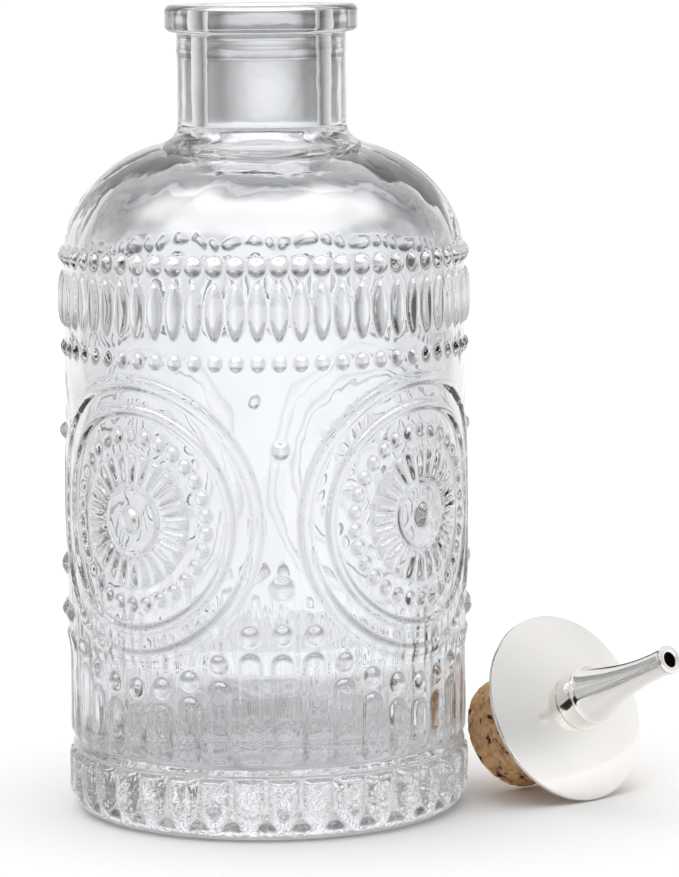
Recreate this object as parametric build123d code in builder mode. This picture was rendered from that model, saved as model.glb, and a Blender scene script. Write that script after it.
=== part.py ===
from build123d import *
import os
from math import acos, asin, atan, cos, degrees, pi, radians, sin, sqrt

# A 250 ml bitters bottle in clear pressed glass, with its dasher stopper lying beside it.
# Millimetres and degrees. The origin is the centre of the bottle's standing ring, on its axis.
# +Z is up and -Y is the front. A bearing is measured round the bottle from the front, and it
# grows towards +X. Outlines are drawn to the right of an axis, as (distance from it, height).

# Driving dimensions of the bottle's outside
bottle_height = 130.0
body_radius = 32.3
shoulder_foot = 89.6
shoulder_rise = 19.0
shoulder_reach = 22.2
neck_radius = 13.6
neck_blend = 2.5
lip_radius = 15.5
lip_height = 4.4
lip_chamfer = 1.0

# The heel band at the foot, and the drawn-in waist above it that the ribs stand on
heel_draw_in = 0.4
heel_height = 12.2
heel_chamfer = 2.4
waist_draw_in = 0.7
waist_top = 26.0
waist_blend = 5.0

# The band of beads and petals under the shoulder, which stands a little proud
band_stand_out = 0.15
band_bottom = 73.4
band_top = 92.2
band_count = 60

# The glass itself: bore, walls, floor and the pushed-up underside
bore_radius = 9.4
mouth_chamfer = 0.8
throat_rise = 4.6
throat_ledge = 0.5
side_wall = 3.4
shoulder_wall = 3.3
floor_thickness = 9.5
floor_round = 7.0
push_up_radius = 26.0
push_up_depth = 1.6

# Round stretches of the glass are made in flats: up the outline, and round the hollow
outside_flats = 5
inside_flats = 3
floor_flats = 2
hollow_sides = 40

# Pressed ornament. A relief is how far a form stands off the wall that carries it, and every
# form is rooted in the wall by the bite.
bite = 0.3
ornament_turn = 5.0
stud_sides = 6

upper_bead_height = 90.4
upper_bead_radius = 1.65
upper_bead_relief = 0.65
petal_height = 83.4
petal_length = 9.0
petal_radius = 1.7
petal_relief = 0.8
lower_bead_height = 75.5
lower_bead_radius = 1.45
lower_bead_relief = 0.5

medallion_count = 4
medallion_height = 50.3
outer_ring_radius = 22.8
outer_ring_width = 2.3
inner_ring_radius = 18.3
inner_ring_width = 1.7
rosette_radius = 5.6
ring_relief = 0.6
ring_sides = 24
boss_radius = 2.2
boss_sides = 10
boss_relief = 0.8

rib_count = 40
rib_bottom = 12.8
rib_root_width = 3.8
rib_crest_width = 2.2
rib_relief = 0.5
swag_circle = 26.8
swag_bead_count = 9
swag_bead_radius = 1.8
swag_bead_relief = 0.8
swag_gap = 1.0
gap_dot_heights = (62.0, 40.3, 33.0)

scallop_count = 36
scallop_bottom = 3.3
scallop_top = 10.4
scallop_root_width = 5.3
scallop_crest_width = 3.6
scallop_relief = 0.5

# The stopper: polished cap disc, tapered cork, spout, and the tube that carries them.
# Heights on it are measured from its disc's rim, along the way it points.
disc_radius = 15.75
disc_rim = 0.8
disc_shell = 1.0
crown_radius = 37.5

cork_reach = 14.0
cork_end_radius = 9.25
cork_top_radius = 10.5

collar_radius = 4.95
collar_height = 3.6
collar_chamfer = 0.25
spout_reach = 27.1
spout_waist_radius = 2.1
spout_waist_back = 4.0
channel_radius = 1.6
tip_hole_radius = 1.18
tip_hole_depth = 3.0

tube_radius = 3.0
tube_wall = 0.5
tube_socket = 4.5
tube_proud = 0.8

# Round stretches of the stopper are made in flats too: up the outline, and round the axis
crown_flats = 3
flare_flats = 4
stopper_sides = 40
spout_sides = 24

# Room between the stopper's pieces where they meet
seat_gap = 0.03

# Where the stopper lies on the table: the centre of its disc's rim, and where it points
stopper_distance = 16.0
stopper_y = 4.0
stopper_bearing = 41.4

# Room for cuts that run past what they cut
overrun = 1.0

# Radii and a place that follow the body
heel_radius = body_radius - heel_draw_in
waist_radius = body_radius - waist_draw_in
band_radius = body_radius + band_stand_out
stopper_x = body_radius + stopper_distance

os.makedirs("parts", exist_ok=True)


def outward(bearing):
    """The level direction that leaves the bottle's axis at a bearing."""
    return Vector(sin(radians(bearing)), -cos(radians(bearing)), 0)


def sideways(bearing):
    """The level direction that runs round the bottle at a bearing, towards larger bearings."""
    return Vector(cos(radians(bearing)), sin(radians(bearing)), 0)


def seen_from_above(bearing, out, aside=0.0):
    """A corner that stands out from the axis at a bearing, and aside from that line."""
    return tuple(outward(bearing) * out + sideways(bearing) * aside)[:2]


def flat_sided(count, radius):
    """The corners of a wall of flats, each as far from the axis, with one facing each gap."""
    half_step = 180 / count
    corner_radius = radius / cos(radians(half_step))
    return [
        seen_from_above(ornament_turn + (2 * i + 1) * half_step, corner_radius)
        for i in range(count)
    ]


def lobed(count, wall_radius, relief, root_width, crest_width):
    """The corners of a wall with as many lobes, each one rooted in the wall by the bite."""
    root = wall_radius - bite
    crest = wall_radius + relief
    corners = []
    for i in range(count):
        bearing = ornament_turn + i * 360 / count
        corners.append(seen_from_above(bearing, root, -root_width / 2))
        corners.append(seen_from_above(bearing, crest, -crest_width / 2))
        corners.append(seen_from_above(bearing, crest, crest_width / 2))
        corners.append(seen_from_above(bearing, root, root_width / 2))
    return corners


def oval(half_width, half_height, sides):
    """The corners of an upright oval."""
    angles = [radians(i * 360 / sides) for i in range(sides)]
    return [(half_width * sin(angle), half_height * cos(angle)) for angle in angles]


def rolled_circle(radius):
    """The corners of a circle that is rolled onto the round wall, seen from in front of it."""
    return oval(body_radius * sin(radius / body_radius), radius, ring_sides)


def elliptic(centre, semi_axes, start, end, flats):
    """Points at even steps along an ellipse, from one angle in radians to another."""
    angles = [start + (end - start) * i / flats for i in range(flats + 1)]
    return [
        (centre[0] + semi_axes[0] * cos(angle), centre[1] + semi_axes[1] * sin(angle))
        for angle in angles
    ]


def wall_radius(height):
    """How far the wall under the ornament stands from the axis at a height."""
    if height > band_bottom:
        return band_radius
    blend_share = min(max((height - waist_top) / waist_blend, 0), 1)
    return waist_radius + (body_radius - waist_radius) * blend_share


def wall_plane(bearing, height):
    """A plane that faces straight out, rooted in the wall by the bite."""
    foot = outward(bearing) * (wall_radius(height) - bite) + Vector(0, 0, height)
    return Plane(foot, x_dir=sideways(bearing), z_dir=outward(bearing))


def row(count, height):
    """Planes for a row round the bottle, one of them on each line between medallions."""
    return [wall_plane(ornament_turn + i * 360 / count, height) for i in range(count)]


def medallion_bearings():
    """The bearings of the medallions' centres."""
    return [ornament_turn + (i + 0.5) * 360 / medallion_count for i in range(medallion_count)]


def swag_planes():
    """Planes for the beads that hang in a swag under each medallion, each one over a rib."""
    planes = []
    for centre in medallion_bearings():
        for i in range(swag_bead_count):
            aside = (i - (swag_bead_count - 1) / 2) * 360 / rib_count
            drop = sqrt(swag_circle**2 - (radians(aside) * body_radius) ** 2)
            planes.append(wall_plane(centre + aside, medallion_height - drop))
    return planes


def many_sided(outline, sides, axis, facing):
    """A turned form in flats, one of them facing a way: where its side views all overlap."""
    silhouette = outline + [(-out, height) for out, height in reversed(outline)]
    reach = max(out for out, height in outline) + overrun
    with BuildPart() as form:
        for i in range(sides // 2):
            out = facing.rotate(axis, i * 360 / sides)
            side_view = Plane(axis.position, x_dir=out, z_dir=out.cross(axis.direction))
            with BuildSketch(side_view.offset(-reach)):
                Polygon(*silhouette, align=None)
            extrude(amount=2 * reach, mode=Mode.INTERSECT if i else Mode.ADD)
    return form.part


def stud(half_width, half_height, relief, sides=stud_sides):
    """A pointed form that has its stated size where it leaves the wall."""
    root_share = (relief + bite) / relief
    with BuildPart() as form:
        with BuildSketch() as root:
            Polygon(*oval(half_width * root_share, half_height * root_share, sides), align=None)
        loft([root.face(), Vertex(0, 0, bite + relief)], ruled=True)
    return form.part


# The studs that the rows repeat
upper_bead = stud(upper_bead_radius, upper_bead_radius, upper_bead_relief)
petal = stud(petal_radius, petal_length / 2, petal_relief)
lower_bead = stud(lower_bead_radius, lower_bead_radius, lower_bead_relief)
swag_bead = stud(swag_bead_radius, swag_bead_radius, swag_bead_relief)
boss = stud(boss_radius, boss_radius, ring_relief + boss_relief, boss_sides)

# The medallions: two rings and a rosette disc each, rolled onto the round wall
medallion_root = body_radius * cos(outer_ring_radius / body_radius) - overrun

with BuildPart() as medallions:
    for bearing in medallion_bearings():
        root = outward(bearing) * medallion_root + Vector(0, 0, medallion_height)
        with BuildSketch(Plane(root, x_dir=sideways(bearing), z_dir=outward(bearing))):
            Polygon(*rolled_circle(outer_ring_radius), align=None)
            Polygon(
                *rolled_circle(outer_ring_radius - outer_ring_width),
                align=None,
                mode=Mode.SUBTRACT,
            )
            Polygon(*rolled_circle(inner_ring_radius), align=None)
            Polygon(
                *rolled_circle(inner_ring_radius - inner_ring_width),
                align=None,
                mode=Mode.SUBTRACT,
            )
            Polygon(*rolled_circle(rosette_radius), align=None)
        extrude(amount=body_radius + ring_relief + overrun - medallion_root)
    with BuildSketch(Plane.XY.offset(medallion_height - outer_ring_radius - overrun)):
        Polygon(*flat_sided(rib_count, body_radius + ring_relief), align=None)
    extrude(amount=2 * (outer_ring_radius + overrun), mode=Mode.INTERSECT)

# Ribs round the waist, cut off along the swags
rib_top = min(gap_dot_heights) - swag_bead_radius - swag_gap
rib_ceiling = swag_circle + swag_bead_radius + swag_gap

with BuildPart() as ribs:
    with BuildSketch(Plane.XY.offset(rib_bottom)):
        Polygon(
            *lobed(rib_count, waist_radius, rib_relief, rib_root_width, rib_crest_width),
            align=None,
        )
    extrude(amount=rib_top - rib_bottom)
    for bearing in medallion_bearings():
        centre = Vector(0, 0, medallion_height)
        with BuildSketch(Plane(centre, x_dir=sideways(bearing), z_dir=outward(bearing))):
            Polygon(*rolled_circle(rib_ceiling), align=None)
        extrude(amount=body_radius + overrun, mode=Mode.SUBTRACT)

# Scalloped lobes round the heel
with BuildPart() as scallops:
    with BuildSketch(Plane.XY.offset(scallop_bottom)):
        Polygon(
            *lobed(
                scallop_count,
                heel_radius,
                scallop_relief,
                scallop_root_width,
                scallop_crest_width,
            ),
            align=None,
        )
    extrude(amount=scallop_top - scallop_bottom)

# The bottle's outside and inside: shoulder, neck and lip, and the hollow that follows them
inner_radius = body_radius - side_wall
lip_bottom = bottle_height - lip_height
shoulder_centre = (body_radius - shoulder_reach, shoulder_foot)
shoulder = elliptic(
    shoulder_centre,
    (shoulder_reach, shoulder_rise),
    asin((band_top - shoulder_foot) / shoulder_rise),
    acos((neck_radius + neck_blend - shoulder_centre[0]) / shoulder_reach),
    outside_flats,
)
bottle_top = many_sided(
    [
        (band_radius, band_bottom),
        (band_radius, band_top),
        *shoulder,
        (neck_radius, shoulder[-1][1] + neck_blend),
        (neck_radius, lip_bottom),
        (lip_radius - lip_chamfer, lip_bottom),
        (lip_radius, lip_bottom + lip_chamfer),
        (lip_radius, bottle_height - lip_chamfer),
        (lip_radius - lip_chamfer, bottle_height),
    ],
    band_count,
    Axis.Z,
    outward(ornament_turn),
)

floor_corner = elliptic(
    (inner_radius - floor_round, floor_thickness + floor_round),
    (floor_round, floor_round),
    radians(-90),
    0,
    floor_flats,
)
inner_reach = inner_radius - shoulder_centre[0]
inner_shoulder = elliptic(
    shoulder_centre,
    (inner_reach, shoulder_rise - shoulder_wall),
    0,
    acos((neck_radius - shoulder_centre[0]) / inner_reach),
    inside_flats,
)
hollow = many_sided(
    [*floor_corner, *inner_shoulder],
    hollow_sides,
    Axis.Z,
    outward(ornament_turn),
)
hollow_top = inner_shoulder[-1][1]
throat_top = hollow_top + throat_rise
throat_radius = neck_radius - throat_ledge

# Glass bottle: heel, waist and body from below, with the band, shoulder and neck on top
with BuildPart() as glass_bottle:
    with BuildSketch(Plane.XY):
        Polygon(*flat_sided(scallop_count, heel_radius), align=None)
    extrude(amount=heel_height)
    chamfer(glass_bottle.edges().group_by(Axis.Z)[0], heel_chamfer)
    with BuildSketch(Plane.XY.offset(heel_height - overrun)):
        Polygon(*flat_sided(rib_count, waist_radius), align=None)
    extrude(amount=waist_top - heel_height + overrun)
    with BuildSketch(Plane.XY.offset(waist_top)):
        Polygon(*flat_sided(rib_count, waist_radius), align=None)
    extrude(amount=waist_blend, taper=-degrees(atan(waist_draw_in / waist_blend)))
    with BuildSketch(Plane.XY.offset(waist_top + waist_blend)):
        Polygon(*flat_sided(rib_count, body_radius), align=None)
    extrude(amount=band_bottom - waist_top - waist_blend)
    add(bottle_top)

    # The pressed ornament, row by row
    add([medallions.part, ribs.part, scallops.part])
    with Locations(*row(band_count, upper_bead_height)):
        add(upper_bead)
    with Locations(*row(band_count, petal_height)):
        add(petal)
    with Locations(*row(band_count, lower_bead_height)):
        add(lower_bead)
    with Locations(*[wall_plane(bearing, medallion_height) for bearing in medallion_bearings()]):
        add(boss)
    with Locations(*swag_planes()):
        add(swag_bead)
    for height in gap_dot_heights:
        with Locations(*row(medallion_count, height)):
            add(swag_bead)

    # The hollow, from the floor up to the mouth
    add(hollow, mode=Mode.SUBTRACT)
    with BuildSketch(Plane.XZ):
        with BuildLine():
            Polyline(
                (0, hollow_top - overrun),
                (throat_radius, hollow_top - overrun),
                (throat_radius, hollow_top),
                (bore_radius, throat_top),
                (bore_radius, bottle_height - mouth_chamfer),
                (bore_radius + mouth_chamfer, bottle_height),
                (bore_radius + mouth_chamfer, bottle_height + overrun),
                (0, bottle_height + overrun),
                (0, hollow_top - overrun),
            )
        make_face()
    revolve(axis=Axis.Z, mode=Mode.SUBTRACT)

    # The underside, pushed up inside the standing ring
    with BuildSketch(Plane.XZ):
        with BuildLine():
            Polyline(
                (0, 0),
                (push_up_radius, 0),
                (push_up_radius - push_up_depth, push_up_depth),
                (0, push_up_depth),
                (0, 0),
            )
        make_face()
    revolve(axis=Axis.Z, mode=Mode.SUBTRACT)

glass_bottle.part.label = "glass_bottle"
export_step(glass_bottle.part, "parts/glass_bottle.step")

# The stopper lies on the rim of its disc and on the lower corner of its cork
tilt = degrees(atan((disc_radius - cork_end_radius) / cork_reach))
pointing = outward(stopper_bearing) * cos(radians(tilt)) + Vector(0, 0, sin(radians(tilt)))
rim_centre = Vector(stopper_x, stopper_y, disc_radius * cos(radians(tilt)))
stopper_side = sideways(stopper_bearing)
stopper_axis = Axis(rim_centre, pointing)
stopper_plane = Plane(rim_centre, x_dir=stopper_side, z_dir=stopper_side.cross(pointing))
rim_plane = Plane(rim_centre, x_dir=stopper_side, z_dir=pointing)

# The disc's crown is part of a sphere, and the cork reaches up under it
crown_centre = disc_rim - sqrt(crown_radius**2 - disc_radius**2)
inner_crown = crown_radius - disc_shell
collar_seat = crown_centre + sqrt(crown_radius**2 - collar_radius**2)
cork_seat = crown_centre + sqrt(inner_crown**2 - cork_top_radius**2)
hole_radius = tube_radius + seat_gap
shell_radius = disc_radius - disc_shell
crown = elliptic(
    (0, crown_centre),
    (crown_radius, crown_radius),
    acos(disc_radius / crown_radius),
    acos(collar_radius / crown_radius),
    crown_flats,
)
disc_outline = [(disc_radius, 0), *crown]
underside_outline = [
    (shell_radius, -overrun),
    (shell_radius, crown_centre + sqrt(inner_crown**2 - shell_radius**2)),
    (cork_top_radius, cork_seat),
]
cork_outline = [(cork_end_radius, -cork_reach), (cork_top_radius, cork_seat - seat_gap)]

# Cap disc: crowned on top, hollow underneath round the level seat of the cork
with BuildPart() as cap_disc:
    add(many_sided(disc_outline, stopper_sides, stopper_axis, stopper_side))
    add(
        many_sided(underside_outline, stopper_sides, stopper_axis, stopper_side),
        mode=Mode.SUBTRACT,
    )
    with BuildSketch(rim_plane):
        Circle(hole_radius)
    extrude(amount=collar_seat + overrun, mode=Mode.SUBTRACT)

cap_disc.part.label = "cap_disc"
export_step(cap_disc.part, "parts/cap_disc.step")

# Cork: tapered, with a hole for the tube
with BuildPart() as cork:
    add(many_sided(cork_outline, stopper_sides, stopper_axis, stopper_side))
    with BuildSketch(rim_plane.offset(-cork_reach - overrun)):
        Circle(hole_radius)
    extrude(amount=cork_reach + cork_seat + 2 * overrun, mode=Mode.SUBTRACT)

cork.part.label = "cork"
export_step(cork.part, "parts/cork.step")

# Spout: a collar that seats on the disc, and one long arc from it to the rolled tip
collar_foot = collar_seat + seat_gap
collar_top = collar_seat + collar_height
arc_foot_radius = collar_radius - collar_chamfer
waist_height = spout_reach - spout_waist_back
waist_drop = waist_height - collar_top
waist_draw = arc_foot_radius - spout_waist_radius
arc_radius = (waist_drop**2 + waist_draw**2) / (2 * waist_draw)
flare = elliptic(
    (spout_waist_radius + arc_radius, waist_height),
    (arc_radius, arc_radius),
    pi + asin(waist_drop / arc_radius),
    pi - asin(spout_waist_back / arc_radius),
    flare_flats,
)
spout_outline = [
    (collar_radius, collar_foot),
    (collar_radius, collar_top - collar_chamfer),
    *flare,
]
socket_top = collar_seat + tube_socket

with BuildPart() as spout:
    add(many_sided(spout_outline, spout_sides, stopper_axis, stopper_side))
    with BuildSketch(stopper_plane):
        with BuildLine():
            Polyline(
                (0, collar_foot - overrun),
                (hole_radius, collar_foot - overrun),
                (hole_radius, socket_top + seat_gap),
                (channel_radius, socket_top + seat_gap),
                (channel_radius, spout_reach - tip_hole_depth),
                (tip_hole_radius, spout_reach - tip_hole_depth),
                (tip_hole_radius, spout_reach + overrun),
                (0, spout_reach + overrun),
                (0, collar_foot - overrun),
            )
        make_face()
    revolve(axis=stopper_axis, mode=Mode.SUBTRACT)

spout.part.label = "spout"
export_step(spout.part, "parts/spout.step")

# Stem tube: from the socket in the spout, through the disc and the cork
with BuildPart() as stem_tube:
    with BuildSketch(stopper_plane):
        with BuildLine():
            Polyline(
                (tube_radius - tube_wall, -cork_reach - tube_proud),
                (tube_radius, -cork_reach - tube_proud),
                (tube_radius, socket_top),
                (tube_radius - tube_wall, socket_top),
                (tube_radius - tube_wall, -cork_reach - tube_proud),
            )
        make_face()
    revolve(axis=stopper_axis)

stem_tube.part.label = "stem_tube"
export_step(stem_tube.part, "parts/stem_tube.step")
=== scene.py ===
import math

import bpy
import numpy as np
from mathutils import Matrix, Vector


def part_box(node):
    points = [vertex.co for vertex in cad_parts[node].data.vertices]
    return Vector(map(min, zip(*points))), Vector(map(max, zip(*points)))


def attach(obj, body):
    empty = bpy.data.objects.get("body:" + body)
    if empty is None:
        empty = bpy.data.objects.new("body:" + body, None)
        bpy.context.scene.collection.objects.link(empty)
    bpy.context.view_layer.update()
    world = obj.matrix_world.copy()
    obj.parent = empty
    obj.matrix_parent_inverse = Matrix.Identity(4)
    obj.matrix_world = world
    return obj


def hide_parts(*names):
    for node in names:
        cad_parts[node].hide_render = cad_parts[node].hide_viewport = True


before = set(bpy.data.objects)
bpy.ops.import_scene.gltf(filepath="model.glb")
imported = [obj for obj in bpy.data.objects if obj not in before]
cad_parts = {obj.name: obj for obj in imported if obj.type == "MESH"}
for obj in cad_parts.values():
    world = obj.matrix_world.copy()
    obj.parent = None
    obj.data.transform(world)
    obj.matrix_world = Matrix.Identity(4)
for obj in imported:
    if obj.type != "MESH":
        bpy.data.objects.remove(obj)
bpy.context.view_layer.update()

# Sizes are in millimetres unless a name says otherwise, and meshes are made in metres.
MM = 0.001

# The bottle. A bearing is measured round it from the front, and it grows towards +X.
BOTTLE_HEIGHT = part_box("glass_bottle")[1][2] / MM
BODY_RADIUS = 32.3
WAIST_RADIUS = 31.6
HEEL_RADIUS = 31.9
HEEL_ROUND = 3.2
HEEL_TOP = (10.6, 12.2)
WAIST_TOP = (26.0, 31.0)
SHOULDER_FOOT = 89.6
SHOULDER_RISE = 19.0
SHOULDER_REACH = 22.2
NECK_RADIUS = 13.6
NECK_BLEND = 2.5
NECK_BLEND_RISE = 3.0
LIP_RADIUS = 15.5
LIP_HEIGHT = 4.4
LIP_ROUND = 1.1
LIP_FILLET = 0.5
BORE_RADIUS = 9.4
MOUTH_ROUND = 0.9
THROAT_RISE = 4.6
THROAT_RADIUS = 14.2
SIDE_WALL = 3.4
SHOULDER_WALL = 3.3
FLOOR_THICKNESS = 9.5
FLOOR_ROUND = 7.0
FLOOR_CROWN = 0.5
PUSH_UP_RADIUS = 26.0
PUSH_UP_DEPTH = 1.6
FOOT_ROUND = 0.7

# Rows of beads: height of the middle, radius, relief
BEAD_ROWS = ((90.4, 1.5, 0.8), (75.5, 1.25, 0.6))
BAND_COUNT = 60
PETAL_HEIGHT = 83.4
PETAL_HALF_LENGTH = 4.3
PETAL_HALF_WIDTH = 1.42
PETAL_RELIEF = 0.95
# The lower these powers are, the fuller the petal is: in plan, across and lengthways
PETAL_FULLNESS = (0.62, 0.8, 0.35)

# Medallions, turned against the front by an angle, with the beads that hang under them
ORNAMENT_TURN = 5.0
MEDALLION_COUNT = 4
MEDALLION_HEIGHT = 50.3
# Rings: radius, half their width, relief
RINGS = ((21.65, 1.15, 0.42), (17.45, 0.85, 0.42))
# Count, radius of their circle, radius of each, relief
ROSETTE_BEADS = (30, 13.4, 1.2, 0.6)
# Count, inner end, outer end, relief, and the share of the pitch that each fills
ROSETTE_PETALS = (24, 5.8, 10.6, 0.55, 0.92)
ROSETTE_PETAL_FULLNESS = 0.7
# Radius, relief, width of the edge
ROSETTE_DISC = (5.6, 0.35, 0.8)
# Radius, relief
BOSS = (2.1, 0.9)
SWAG_BEAD = (1.6, 0.9)
SWAG_CIRCLE = 26.8
SWAG_BEADS = 9
SWAG_GAP = 1.0
# Dots between the medallions: height of the middle, radius
GAP_DOTS = ((62.0, 1.5), (40.3, 2.0), (33.0, 1.6))
GAP_DOT_RELIEF = 0.95

# Ribs on the waist, and tongues round the heel
RIB_COUNT = 40
RIB_PITCH = math.radians(360 / RIB_COUNT) * BODY_RADIUS
RIB_BOTTOM = 12.8
RIB_END = 0.7
RIB_HALF_WIDTH = 1.95
RIB_EDGE = 1.1
RIB_RELIEF = 0.5
RIB_UNDER_DOT = 3.0
SCALLOP_COUNT = 36
SCALLOP_BOTTOM = 1.6
SCALLOP_TOP = 10.3
SCALLOP_END = 0.9
SCALLOP_HALF_WIDTH = 2.6
SCALLOP_EDGE = 1.4
SCALLOP_TONGUE = 5.0
SCALLOP_RELIEF = 0.55
SCALLOP_GROOVE = 0.6
GROOVE_START = 2.0

# The faint ring on the neck: height, half its width, relief
NECK_RING = (122.6, 0.6, 0.16)

# The stretch of the outside that carries the ornament
WALL_BOTTOM = 0.3
WALL_FULL_RELIEF = 3.0
WALL_TOP = 93.0
WALL_LEAST_RADIUS = 28.5

# The marks of pressing. Ripples and streaks: count of waves, depth, seed
INNER_RIPPLE = (9, 0.06, 4)
SHOULDER_RIPPLE = (7, 0.035, 9)
INNER_STREAKS = (24, 0.05, 8)
OUTER_STREAKS = (20, 0.03, 15)
# Waves in all directions: shortest, longest, count, depth, seed
FLOOR_WAVES = (4, 11, 14, 0.16, 21)
HEEL_SWIRLS = (1.8, 5.0, 16, 0.035, 33)
RIPPLE_TURNS = (2, 22)
RIPPLE_LEAN = 0.45
STREAK_TURNS = (34, 120)
STREAK_LEAN = 0.12
STREAK_SWELL = 0.8
STREAK_SWELL_PACE = (0.15, 0.5)
# Where these marks grow in and out, as pairs of heights or of radii
INNER_RIPPLE_IN = (BORE_RADIUS, 20)
SHOULDER_RIPPLE_IN = (14, 22)
SHOULDER_RIPPLE_ABOVE = 92
FLOOR_WAVES_IN = (0, 4)
FLOOR_WAVES_OUT = (20, 24)
FLOOR_WAVES_BELOW = 15
SWIRLS_IN = (1, 3)
SWIRLS_OUT = (24, 34)
SWIRLS_WEAKEN = (11, 13)
SWIRLS_WEAKER_BY = 0.6
SWIRLS_CLOSING = 8
STREAKS_IN = (11, 14)
STREAKS_OUT = (28, 42)

# How finely the glass is made: columns round it, and the rows' spacing
COLUMNS = 900
ORNAMENT_ROW = 0.26
FLOOR_ROW = 0.6
PLAIN_ROW = 0.8

# The stopper, whose heights run from its disc's rim along the way it points
CLEARANCE = 0.03
DISC_RADIUS = 15.75
DISC_RIM = 0.8
DISC_EDGE = 0.28
DISC_SHELL = 1.0
DISC_FOOT_ROUNDS = (0.2, 0.25)
DISC_SIDES = 160
CROWN_RADIUS = 37.5
CORK_REACH = 14.0
CORK_END_RADIUS = 9.25
CORK_TOP_RADIUS = 10.5
CORK_GAP = 0.05
CORK_ROUNDS = (0.6, 0.3)
CORK_ROW = 0.22
CORK_SIDES = 260
CORK_ROUGHNESS = 0.05
CORK_HOLE_LIMIT = 4
# The cork has pits where the sum of many waves passes a level
PIT_WAVES = 26
PIT_TURNS = (3, 40)
PIT_RISE = 4.5
PIT_LEVEL = 0.75
PIT_LIMIT = 1.2
PIT_DEPTH = 0.5
COLLAR_RADIUS = 4.95
COLLAR_HEIGHT = 3.6
COLLAR_EDGE = 0.3
COLLAR_SLOPE = (0.4, 0.35)
COLLAR_GAP = 0.02
SPOUT_REACH = 27.1
SPOUT_WAIST_RADIUS = 2.1
SPOUT_WAIST_BACK = 4.0
SPOUT_FOOT_STEP = 0.2
SPOUT_SIDES = 112
TIP_BEAD = 0.55
TIP_BEAD_WIDTH = 1.05
TIP_BEAD_OVERLAP = 0.75
TIP_HOLE_RADIUS = 1.18
TIP_HOLE_START = 1.2
TIP_HOLE_DEPTH = 3.0
# How far below the tip the bore's painted shade starts
SHADED_BORE_BELOW_TIP = 0.6
TUBE_RADIUS = 3.0
TUBE_WALL = 0.5
TUBE_EDGE = 0.15
TUBE_SOCKET = 4.5
TUBE_PROUD = 0.8
TUBE_SIDES = 96
HOLE_RADIUS = TUBE_RADIUS + CLEARANCE
STOPPER_BEARING = 41.4
STOPPER_X = 48.3
STOPPER_Y = 4.0
TILT = math.atan((DISC_RADIUS - CORK_END_RADIUS) / CORK_REACH)

# The studio, in metres: the floor, and a glowing card on it that only the glass sees, with a
# painted shadow round the bottle's foot
FLOOR_HALF = 6.0
FLOOR_Z = -0.00005
TABLE_CARD_HALF = 0.2
TABLE_CARD_Z = -0.00002
TABLE_SHADOW_TONE = 0.56
TABLE_FAR_GAIN = 0.34
TABLE_FADE = (0.03, 0.16)
TABLE_MOTTLE = 0.8

# The card behind the bottle, which glows with painted light and shade for the glass: its tones,
# and the stretches over which they come and go
BACKDROP_TONE = 0.34
BACKDROP_HALF = 0.13
BACKDROP_BACK = 0.19
BACKDROP_TOP = 0.26
BODY_TONE = 0.76
BODY_TOP = (0.075, 0.105)
BODY_SIDE_SHARE = 0.7
BODY_MIDDLE = (0.0, 0.07)
SHOULDER_HIGHLIGHT_TONE = 0.62
SPOT_AT = (0.002, 0.107)
SPOT_FLATNESS = 0.35
SPOT_REACH = (0.0, 0.02)
LIP_TONE = 0.4
LIP_FROM = (0.117, 0.121)
LIP_TO = (0.126, 0.132)
UPPER_SIDES_LOSS = 0.65
UPPER_SIDES_FROM = (0.035, 0.075)
UPPER_SIDES_ABOVE = (0.106, 0.122)

# The black card's foot, from left to right, and its height
FLAG_LEFT = (-0.0476, -0.0608)
FLAG_RIGHT = (0.0196, -0.1112)
FLAG_TOP = 0.05

# How bright the room is: for the glass, in its soft box, for the steel, and for the rest
SIDES_TONE = 0.17
RIGHT_LOSS = 0.1
BEHIND_GAIN = 0.8
IN_FRONT_GAIN = 0.45
UPPER_LEFT_TONE = 0.5
LEFT_TONE = 0.8
BELOW_TONE = 0.6
SOFT_BOX_TONE = 8.0
STEEL_DARK_TONE = 0.02
STEEL_BELOW_TONE = 0.98
STEEL_ABOVE_TONE = 0.58
STEEL_BEHIND_GAIN = 0.26
STEEL_TOP_GAIN = 0.12
LIGHT_TONE = 0.82
CAMERA_TONE = 1.0


def ride_and_replace(piece, body, node):
    """Puts a piece on a body in place of a CAD node, which it hides."""
    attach(piece, body)
    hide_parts(node)


def object_of(name, points, faces, material):
    """A smooth mesh object from points in metres and faces of four corners."""
    mesh = bpy.data.meshes.new(name)
    mesh.vertices.add(len(points))
    mesh.vertices.foreach_set("co", np.asarray(points, np.float32).ravel())
    mesh.loops.add(faces.size)
    mesh.loops.foreach_set("vertex_index", faces.astype(np.int32).ravel())
    mesh.polygons.add(len(faces))
    starts = np.arange(len(faces), dtype=np.int32) * faces.shape[1]
    mesh.polygons.foreach_set("loop_start", starts)
    finish_mesh(mesh)
    mesh.materials.append(material)
    thing = bpy.data.objects.new(name, mesh)
    bpy.context.scene.collection.objects.link(thing)
    return thing


def finish_mesh(mesh):
    """Makes the edges of a new mesh and shades it smooth."""
    mesh.update(calc_edges=True)
    mesh.validate()
    mesh.polygons.foreach_set("use_smooth", np.ones(len(mesh.polygons), bool))


def ring_faces(rows, columns, closed):
    """Faces between rows of points round an axis, and from the last row to the first if closed."""
    row = np.arange(rows if closed else rows - 1)[:, None]
    column = np.arange(columns)[None, :]
    after = (row + 1) % rows
    beside = (column + 1) % columns
    corners = [
        row * columns + column,
        row * columns + beside,
        after * columns + beside,
        after * columns + column,
    ]
    return np.stack([np.broadcast_to(c, (len(row), columns)) for c in corners], -1).reshape(-1, 4)


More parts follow.
